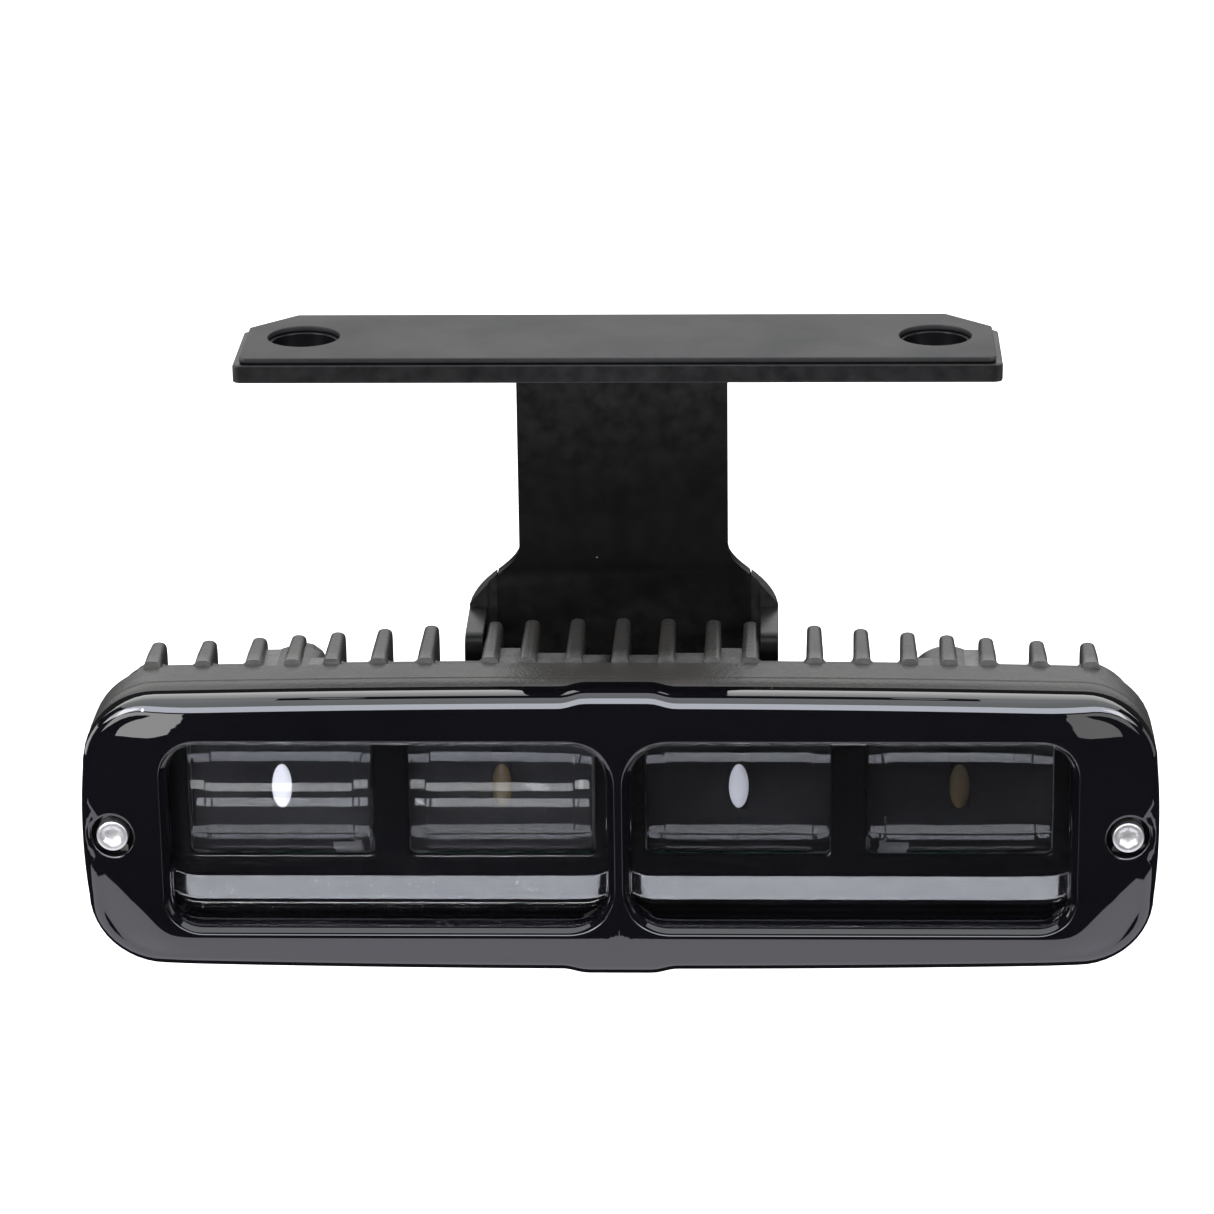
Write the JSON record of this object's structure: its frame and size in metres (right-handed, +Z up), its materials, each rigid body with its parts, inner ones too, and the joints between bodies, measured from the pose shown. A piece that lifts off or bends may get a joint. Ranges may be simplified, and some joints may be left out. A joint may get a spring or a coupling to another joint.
{
  "type": "fog light",
  "caption": "Wide LED fog light with cylinder-lens optics in a finned die-cast body, tilting between the ears of a drop bracket with a drilled top plate.",
  "frame": {"origin": "middle of the mounting pad between the two bolt holes, on its top face", "axes": "+Z up and out of the mounting face, +X along the lamp's width to the right of somebody facing the lens, light shines towards -Y"},
  "size_m": [0.1854, 0.0473, 0.1065],
  "materials": {
    "painted_steel": "satin black paint",
    "pad": "satin black sheet",
    "cast_housing": "fine textured black powder coat",
    "gloss_trim": "piano black gloss",
    "clear_lens": "clear hard-coated polycarbonate",
    "optic_clear": "clear moulded optic",
    "holder_black": "dark gloss",
    "seal_rubber": "matte",
    "led_pcb": "black solder mask on aluminium core",
    "driver_pcb": "green solder mask",
    "led_phosphor": "yellow phosphor",
    "thermal_pad": "soft grey",
    "coil_ferrite": "matte ferrite",
    "capacitor_can": "bright can",
    "gland_plastic": "black nylon",
    "stainless": "polished stainless",
    "zinc_steel": "zinc plated"
  },
  "bodies": {
    "bracket": {"top_plate": "painted_steel", "mounting_pad": "pad", "drop_leg": "painted_steel"},
    "lamp": {"housing": "cast_housing", "bezel": "gloss_trim", "cover_lens": "clear_lens", "lens_gasket": "seal_rubber", "driver_board": "driver_pcb", "cable_gland": "gland_plastic", "gland_seal": "seal_rubber", "gland_nut": "gland_plastic", "breather_vent": "gland_plastic", "optic_holder_left": "holder_black", "led_board_left": "led_pcb", "thermal_pad_left": "thermal_pad", "driver_coil_left": "coil_ferrite", "driver_capacitor_left": "capacitor_can", "board_jumper_left": "gland_plastic", "optic_left_1": "optic_clear", "led_emitter_left_1": "led_phosphor", "led_board_screw_left_1": "stainless", "optic_left_2": "optic_clear", "led_emitter_left_2": "led_phosphor", "led_board_screw_left_2": "stainless", "driver_screw_left": "stainless", "bezel_screw_left": "stainless", "pivot_bolt_left": "stainless", "pivot_washer_left": "zinc_steel", "spring_washer_left": "zinc_steel", "optic_holder_right": "holder_black", "led_board_right": "led_pcb", "thermal_pad_right": "thermal_pad", "driver_coil_right": "coil_ferrite", "driver_capacitor_right": "capacitor_can", "board_jumper_right": "gland_plastic", "optic_right_1": "optic_clear", "led_emitter_right_1": "led_phosphor", "led_board_screw_right_1": "stainless", "optic_right_2": "optic_clear", "led_emitter_right_2": "led_phosphor", "led_board_screw_right_2": "stainless", "driver_screw_right": "stainless", "bezel_screw_right": "stainless", "pivot_bolt_right": "stainless", "pivot_washer_right": "zinc_steel", "spring_washer_right": "zinc_steel"}
  },
  "joints": [
    {"name": "aim_tilt", "type": "hinge", "parent": "bracket", "child": "lamp", "pos_m": [0, 0.001, -0.068], "axis": [1, 0, 0], "range_deg": [-15, 15]}
  ]
}
